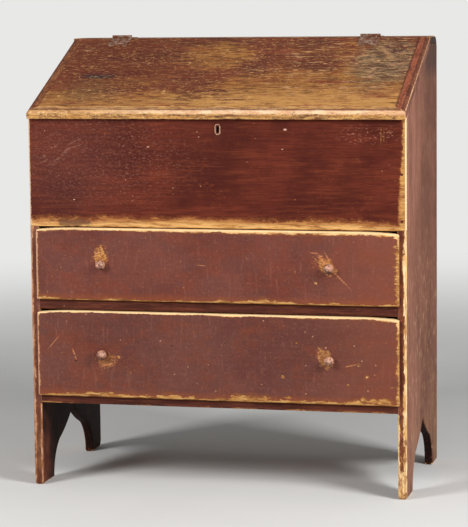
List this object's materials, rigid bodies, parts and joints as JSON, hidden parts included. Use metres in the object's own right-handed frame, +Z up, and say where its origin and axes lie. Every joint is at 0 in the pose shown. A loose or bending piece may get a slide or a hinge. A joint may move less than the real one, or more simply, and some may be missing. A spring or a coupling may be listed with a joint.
{
  "type": "slant front desk",
  "caption": "Painted slant-lid desk: a lidded well over drawers, on side boards cut as pointed bootjack feet.",
  "frame": {"origin": "on the floor, under the middle of the desk's box", "axes": "+Z up, the front with its drawers towards -Y, +X to the right seen from the front"},
  "size_m": [0.914, 0.511, 1.0817],
  "materials": {
    "panel_paint": "worn dark red-brown paint on pine",
    "side_paint": "worn, faded red-brown paint on pine",
    "lid_paint": "red-brown paint rubbed through to ochre wood",
    "drawer_paint": "purple-brown paint, worn on the edges",
    "knob_paint": "turned wood, the paint worn pinkish",
    "bare_pine": "unpainted old pine",
    "iron": "dull wrought iron",
    "brass": "dull old brass"
  },
  "bodies": {
    "case": {"side_left": "side_paint", "side_right": "side_paint", "front_panel": "panel_paint", "top_board": "side_paint", "well_bottom": "bare_pine", "drawer_rail": "panel_paint", "bottom_board": "panel_paint", "runner_left": "bare_pine", "runner_right": "bare_pine", "back_board_upper": "bare_pine", "back_board_middle": "bare_pine", "back_board_lower": "bare_pine", "escutcheon": "brass", "lock_cap": "iron", "lock_plate": "iron", "lock_screws": "iron", "hinge_left_top_leaf": "iron", "hinge_right_top_leaf": "iron", "hinge_pin_left": "iron", "hinge_pin_right": "iron", "top_hinge_screws": "iron", "front_panel_nails": "iron", "top_board_nails": "iron", "back_board_nails": "iron", "runner_nails": "iron"},
    "lid": {"lid_board": "lid_paint", "lid_front_moulding": "lid_paint", "lid_left_moulding": "lid_paint", "lid_right_moulding": "lid_paint", "hinge_left_lid_leaf": "iron", "hinge_right_lid_leaf": "iron", "lid_hinge_screws": "iron", "lid_moulding_nails": "iron", "lock_strike": "iron", "strike_screws": "iron"},
    "lock_bolt": {"lock_bolt": "brass"},
    "upper_drawer": {"upper_drawer_front": "drawer_paint", "upper_drawer_side_left": "bare_pine", "upper_drawer_side_right": "bare_pine", "upper_drawer_back": "bare_pine", "upper_drawer_bottom": "bare_pine", "upper_knob_left": "knob_paint", "upper_knob_right": "knob_paint", "upper_drawer_nails": "iron"},
    "lower_drawer": {"lower_drawer_front": "drawer_paint", "lower_drawer_side_left": "bare_pine", "lower_drawer_side_right": "bare_pine", "lower_drawer_back": "bare_pine", "lower_drawer_bottom": "bare_pine", "lower_knob_left": "knob_paint", "lower_knob_right": "knob_paint", "lower_drawer_nails": "iron"}
  },
  "joints": [
    {"name": "lid_hinge", "type": "hinge", "parent": "case", "child": "lid", "pos_m": [0, 0.1445, 1.07824], "axis": [-1, 0, 0], "range_deg": [0, 118]},
    {"name": "upper_drawer_slide", "type": "slide", "parent": "case", "child": "upper_drawer", "axis": [0, -1, 0], "range_m": [0, 0.34]},
    {"name": "lower_drawer_slide", "type": "slide", "parent": "case", "child": "lower_drawer", "axis": [0, -1, 0], "range_m": [0, 0.34]},
    {"name": "lock_bolt_slide", "type": "slide", "parent": "case", "child": "lock_bolt", "axis": [0, 0, 1], "range_m": [0, 0.011]}
  ]
}
